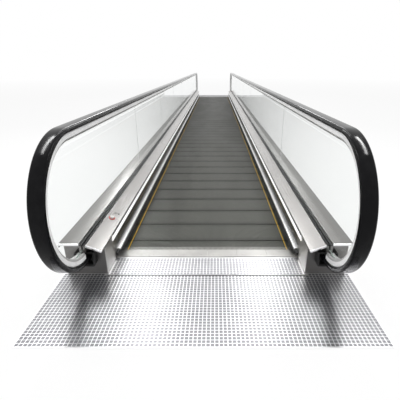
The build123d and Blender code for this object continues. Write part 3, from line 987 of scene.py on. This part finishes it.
class WALKWAY_OT_skirts(bpy.types.Operator):
    """Line the skirts with their trim strips and brushes"""

    bl_idname = "walkway.skirts"
    bl_label = "Skirts and Brushes"

    def execute(self, context):
        sizes = context.scene.walkway_sizes
        colours = context.scene.walkway_colours
        grain = (500.0, 2.0, 500.0)
        skirt = brushed_steel("skirt_steel", colours.steel, grain, 0.15, coating=colours.skirt_coat)
        bright = worn_alloy("bright_trim_alloy", colours.guide, 0.20, 60.0)
        bristle = moulded_plastic("brush_bristle", colours.plastic, 0.55)
        low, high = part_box("right_skirt_trim")
        # The black bands below foot and above brim are rubber edging and also painted shade of the gaps
        # beside the trim.
        foot, brim = low[2] + 0.001, high[2] - 0.006
        # The white trim glows by emission: painted light, not a lamp.
        white = edged_strip("skirt_trim_painted_glow_and_shade", colours.trim, colours.plastic, foot, brim, 0.0, 0.75)
        for side, turn in SIDES.items():
            coat_nodes(skirt, f"{side}_skirt_panels")
            coat_nodes(white, f"{side}_skirt_trim")
            self.make_holder(side, turn, bright)
            self.make_brush(side, turn, sizes, bristle)
        return {"FINISHED"}

    def holder_outline(self, bm, side, turn, place):
        """The holder's section, round over the bristles."""
        low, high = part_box(f"{side}_brush_holder")
        nose, face = sorted((abs(low[0]), abs(high[0])))
        corners = [
            (nose, low[2] + 0.006, 0.002),
            (face, low[2], 0.0),
            (face, high[2], 0.0),
            (nose, high[2], 0.013),
        ]
        points = [(turn * across, place, level) for across, level, _ in corners]
        return outline(bm, points, [rounding for _, _, rounding in corners])

    def make_holder(self, side, turn, material):
        node = f"{side}_brush_holder"
        low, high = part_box(node)
        bm = bmesh.new()
        edges = self.holder_outline(bm, side, turn, low[1])
        run_on(bm, edges, (0.0, high[1] - low[1], 0.0))
        close_up(bm)
        add_piece(f"{side}_brush_channel", bm, [material], [node], 35.0)

    def make_brush(self, side, turn, sizes, material, rise=0.0105, depth=0.007, gap=0.0008, taper=0.0010):
        """Two rows of tufts out of the holder's nose, and a tapered cap at each end."""
        node = f"{side}_skirt_brush"
        low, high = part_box(node)
        hold_low, hold_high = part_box(f"{side}_brush_holder")
        nose = min(abs(hold_low[0]), abs(hold_high[0]))
        tip = min(abs(low[0]), abs(high[0]))
        bm = bmesh.new()
        for start, stop in ((hold_low[1], low[1]), (hold_high[1], high[1])):
            edges = run_on(bm, self.holder_outline(bm, side, turn, start), (0.0, stop - start, 0.0))
            tips = list({vert for edge in edges for vert in edge.verts})
            corner = Matrix.Translation((-turn * SKIRT_X, -stop, -hold_low[2]))
            bmesh.ops.scale(bm, vec=(0.6, 1.0, 0.6), space=corner, verts=tips)
        close_up(bm)
        tufts = int((hold_high[1] - hold_low[1]) / sizes.tuft_pitch)
        length = tufts * sizes.tuft_pitch
        middle = Matrix.Translation((turn * nose, 0.0, hold_low[2] + rise))
        facing = Matrix.Rotation(-turn * math.pi / 2, 4, "Y")
        spread = Matrix.Diagonal((depth, length, 1.0, 1.0))
        faces = tile_grid(bm, 2, tufts, middle @ facing @ spread)
        raise_tiles(bm, faces, gap, nose - tip, taper)
        dice = random.Random(7)
        for face in faces:
            drift = Vector((0.0, dice.uniform(-0.0015, 0.0015), dice.uniform(-0.0012, 0.0012)))
            for vert in face.verts:
                vert.co += drift
        add_piece(f"{side}_bristle_row", bm, [material], [node])


class WALKWAY_OT_ends(bpy.types.Operator):
    """Finish the end walls and the handrail inlets"""

    bl_idname = "walkway.ends"
    bl_label = "End Walls and Inlets"

    def execute(self, context):
        colours = context.scene.walkway_colours
        # The end walls take a much darker copy of the steel: painted shade and painted dark reflection of
        # the walls under the newels.
        steel = brushed_steel("end_wall_painted_shade_steel", shade(colours.steel, 0.42), (3.0, 3.0, 500.0), 0.36)
        plastic = moulded_plastic("inlet_plastic", colours.plastic, 0.34)
        for end in ENDS:
            coat_nodes(steel, f"{end}_left_end_wall", f"{end}_right_end_wall")
            self.make_inlets(end, plastic)
        return {"FINISHED"}

    def make_inlets(self, end, material, half_width=0.064, draw_in=0.002):
        """Moulded inlets with a rounded body and a funnel round each handrail belt."""
        node = f"{end}_handrail_inlets"
        low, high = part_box(node)
        front = max(low[1], high[1], key=abs)
        foot, top = low[2] + draw_in, high[2] - draw_in
        bm = bmesh.new()
        for across in SIDES.values():
            middle = across * GLASS_X
            verts = block(bm, (middle - half_width, low[1], foot), (middle + half_width, high[1], top))
            runs = [edge for edge in edges_of(verts) if abs(edge.verts[0].co.y - edge.verts[1].co.y) > 0.01]
            soften(bm, runs, 0.014, 4)
        mouths = [face for face in bm.faces if abs(face.calc_center_median().y - front) < 0.0001]
        rims = bmesh.ops.inset_individual(bm, faces=mouths, thickness=0.006, depth=0.0)["faces"]
        bmesh.ops.inset_individual(bm, faces=mouths, thickness=0.008, depth=-0.006)
        bmesh.ops.inset_individual(bm, faces=mouths, thickness=0.0005, depth=-0.040)
        corners = {edge for face in rims for edge in face.edges if edge.calc_face_angle(0.0) > 1.0}
        soften(bm, list(corners), 0.003, 3)
        add_piece(f"{end}_inlet_funnels", bm, [material], [node], 35.0)


class WALKWAY_OT_controls(bpy.types.Operator):
    """Finish the stop buttons and key switches"""

    bl_idname = "walkway.controls"
    bl_label = "Stop Buttons and Switches"

    def execute(self, context):
        colours = context.scene.walkway_colours
        coat_nodes(moulded_plastic("button_plastic", colours.button, 0.25), "stop_button_bezels")
        coat_nodes(worn_alloy("button_alloy", shade(colours.steel, 1.3), 0.22), "stop_buttons")
        coat_nodes(worn_alloy("switch_alloy", shade(colours.steel, 0.35), 0.30), "key_switches")
        return {"FINISHED"}


class WALKWAY_OT_base(bpy.types.Operator):
    """Finish the cladding, frames, tracks and brackets of the base"""

    bl_idname = "walkway.base"
    bl_label = "Base"

    def execute(self, context):
        colours = context.scene.walkway_colours
        cladding = brushed_steel("cladding_steel", colours.steel, (3.0, 2.0, 500.0), 0.24)
        rolled = worn_alloy("frame_steel", (0.20, 0.20, 0.20), 0.45)
        screws = worn_alloy("cladding_screw_steel", colours.steel, 0.25)
        for side, turn in SIDES.items():
            self.make_cladding(side, turn, [cladding, screws])
            coat_nodes(rolled, f"{side}_pallet_track", f"{side}_balustrade_brackets")
        for end in ENDS:
            coat_nodes(rolled, f"{end}_landing_frame")
        return {"FINISHED"}

    def make_cladding(self, side, turn, materials, count=8, joint=0.003, inset=0.030):
        """Cladding panels with open joints, each held by six screws."""
        node = f"{side}_side_cladding"
        low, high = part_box(node)
        face = max(abs(low[0]), abs(high[0]))
        span = (high[1] - low[1]) / count
        outwards = Matrix.Rotation(turn * math.pi / 2, 4, "Y")
        bm = bmesh.new()
        for i in range(count):
            start = low[1] + span * i + joint / 2
            stop = start + span - joint
            verts = block(bm, (low[0], start, low[2]), (high[0], stop, high[2]))
            soften(bm, edges_of(verts), 0.0008)
            for place in (start + inset, (start + stop) / 2, stop - inset):
                for level in (FLOOR + inset, high[2] - 0.052):
                    centre = Matrix.Translation((turn * (face + 0.0004), place, level))
                    screw_head(bm, centre @ outwards, 0.006)
        add_piece(f"{side}_cladding_panels", bm, materials, [node])


class WALKWAY_OT_stage(bpy.types.Operator):
    """Set the floor, the lights and the camera"""

    bl_idname = "walkway.stage"
    bl_label = "Stage"

    def execute(self, context):
        context.scene.view_settings.view_transform = "Standard"
        self.make_floor(context.scene.walkway_colours.floor)
        self.make_world(context.scene)
        self.add_lamp("ceiling_lamp", (0.0, -1.0, 5.6), (7.0, 18.0), 200.0, 0.0, reflected=False)
        self.add_lamp("left_panel_lamp", (-1.75, -2.0, 4.4), (0.36, 4.6), 98.0, -75.0)
        self.add_lamp("right_panel_lamp", (1.15, -2.0, 4.4), (0.30, 4.6), 60.0, -75.0)
        for side, turn in SIDES.items():
            place = (turn * 2.25, 1.07 - NEWEL_Y, 4.0)
            self.add_lamp(f"{side}_newel_lamp", place, (0.2, 2.4), 68.0, 0.0)
        self.set_camera(context.scene)
        return {"FINISHED"}

    def make_floor(self, colour, reach=70.0):
        """A wide floor level with the landing plates, open under the walkway."""
        inner_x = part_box("right_side_cladding")[1][0]
        inner_y = CAD_BOX[1][1] - 0.020
        bm = bmesh.new()
        matrix = Matrix.Translation((0.0, 0.0, FLOOR - 0.004))
        matrix = matrix @ Matrix.Diagonal((2 * inner_x, 2 * inner_y, 1.0, 1.0))
        faces = tile_grid(bm, 1, 1, matrix)
        rim = run_on(bm, list(bm.edges), (0.0, 0.0, 0.0))
        verts = list({vert for edge in rim for vert in edge.verts})
        bmesh.ops.scale(bm, vec=(reach / inner_x, reach / inner_y, 1.0), verts=verts)
        bmesh.ops.delete(bm, geom=faces, context="FACES")
        bmesh.ops.recalc_face_normals(bm, faces=bm.faces)
        mesh = bpy.data.meshes.new("floor")
        bm.to_mesh(mesh)
        bm.free()
        material, finish = new_finish("floor_finish", {"Roughness": 0.9, "Specular IOR Level": 0.1})
        finish.feed("Base Color", shade(colour))
        white = finish.node("ShaderNodeEmission", sockets={"Color": shade(WHITE), "Strength": 1.0})
        lit = Value(finish, finish.shader.outputs[0])
        length = {"operation": "LENGTH"}
        away = finish.node("ShaderNodeVectorMath", length, {0: finish.place()}, output="Value")
        share = self.seen_rays(finish) * (0.90 + finish.ramp(away, 9.0, 30.0) * 0.10)
        mixed = finish.node("ShaderNodeMixShader", sockets={0: share, 1: lit, 2: white})
        finish.join(finish.tree.nodes["Material Output"].inputs["Surface"], mixed)
        mesh.materials.append(material)
        floor = bpy.data.objects.new("floor", mesh)
        bpy.context.scene.collection.objects.link(floor)

    def seen_rays(self, finish):
        """1 for the rays of the camera, of reflections and through glass, else 0."""
        camera, glossy, through = (
            finish.node("ShaderNodeLightPath", output=f"Is {kind} Ray")
            for kind in ("Camera", "Glossy", "Transmission")
        )
        return (camera + glossy + through) > 0.5

    def make_world(self, scene):
        """White to the eye and in reflections, and a softer light on the walkway."""
        world = bpy.data.worlds.new("studio")
        world.use_nodes = True
        scene.world = world
        finish = Finish(world.node_tree)
        soft, white = (
            finish.node("ShaderNodeBackground", sockets={"Color": shade(WHITE), "Strength": strength})
            for strength in (0.5, 1.0)
        )
        mixed = finish.node("ShaderNodeMixShader", sockets={0: self.seen_rays(finish), 1: soft, 2: white})
        finish.join(world.node_tree.nodes["World Output"].inputs["Surface"], mixed)

    def add_lamp(self, name, place, size, power, lean, reflected=True):
        lamp = bpy.data.lights.new(name, "AREA")
        lamp.shape = "RECTANGLE"
        lamp.size, lamp.size_y = size
        lamp.energy = power
        holder = bpy.data.objects.new(name, lamp)
        holder.location = place
        holder.rotation_euler = (math.radians(lean), 0.0, 0.0)
        holder.visible_camera = False
        holder.visible_glossy = reflected
        bpy.context.scene.collection.objects.link(holder)

    def set_camera(self, scene):
        camera = bpy.data.cameras.new("camera")
        camera.sensor_width = 36.0
        camera.lens = 29.88
        camera.shift_x = -0.0375
        camera.clip_end = 200.0
        holder = bpy.data.objects.new("camera", camera)
        holder.location = (0.055, -COMB_LINE - 2.157, FLOOR + 1.25)
        holder.rotation_euler = (math.radians(67.9), 0.0, 0.0)
        scene.collection.objects.link(holder)
        scene.camera = holder


class WALKWAY_PT_sidebar(bpy.types.Panel):
    """Lists the walkway's pieces and their sizes and colours"""

    bl_idname = "WALKWAY_PT_sidebar"
    bl_label = "Moving Walkway"
    bl_space_type = "VIEW_3D"
    bl_region_type = "UI"
    bl_category = "Walkway"

    def draw(self, context):
        layout = self.layout
        for operator in OPERATORS:
            layout.operator(operator.bl_idname)
        for group in (context.scene.walkway_sizes, context.scene.walkway_colours):
            for label in group.bl_rna.properties.keys():
                if label not in ("rna_type", "name"):
                    layout.prop(group, label)


OPERATORS = (
    WALKWAY_OT_landings,
    WALKWAY_OT_pallets,
    WALKWAY_OT_combs,
    WALKWAY_OT_skirts,
    WALKWAY_OT_decks,
    WALKWAY_OT_glass,
    WALKWAY_OT_handrails,
    WALKWAY_OT_ends,
    WALKWAY_OT_controls,
    WALKWAY_OT_base,
    WALKWAY_OT_stage,
)
CLASSES = (WalkwaySizes, WalkwayColours, *OPERATORS, WALKWAY_PT_sidebar)


def register():
    for cls in CLASSES:
        bpy.utils.register_class(cls)
    bpy.types.Scene.walkway_sizes = PointerProperty(type=WalkwaySizes)
    bpy.types.Scene.walkway_colours = PointerProperty(type=WalkwayColours)


def unregister():
    del bpy.types.Scene.walkway_colours
    del bpy.types.Scene.walkway_sizes
    for cls in reversed(CLASSES):
        bpy.utils.unregister_class(cls)


def main():
    register()
    bpy.ops.walkway.landings()
    bpy.ops.walkway.pallets()
    bpy.ops.walkway.combs()
    bpy.ops.walkway.skirts()
    bpy.ops.walkway.decks()
    bpy.ops.walkway.glass()
    bpy.ops.walkway.handrails()
    bpy.ops.walkway.ends()
    bpy.ops.walkway.controls()
    bpy.ops.walkway.base()
    bpy.ops.walkway.stage()


if __name__ == "__main__":
    main()
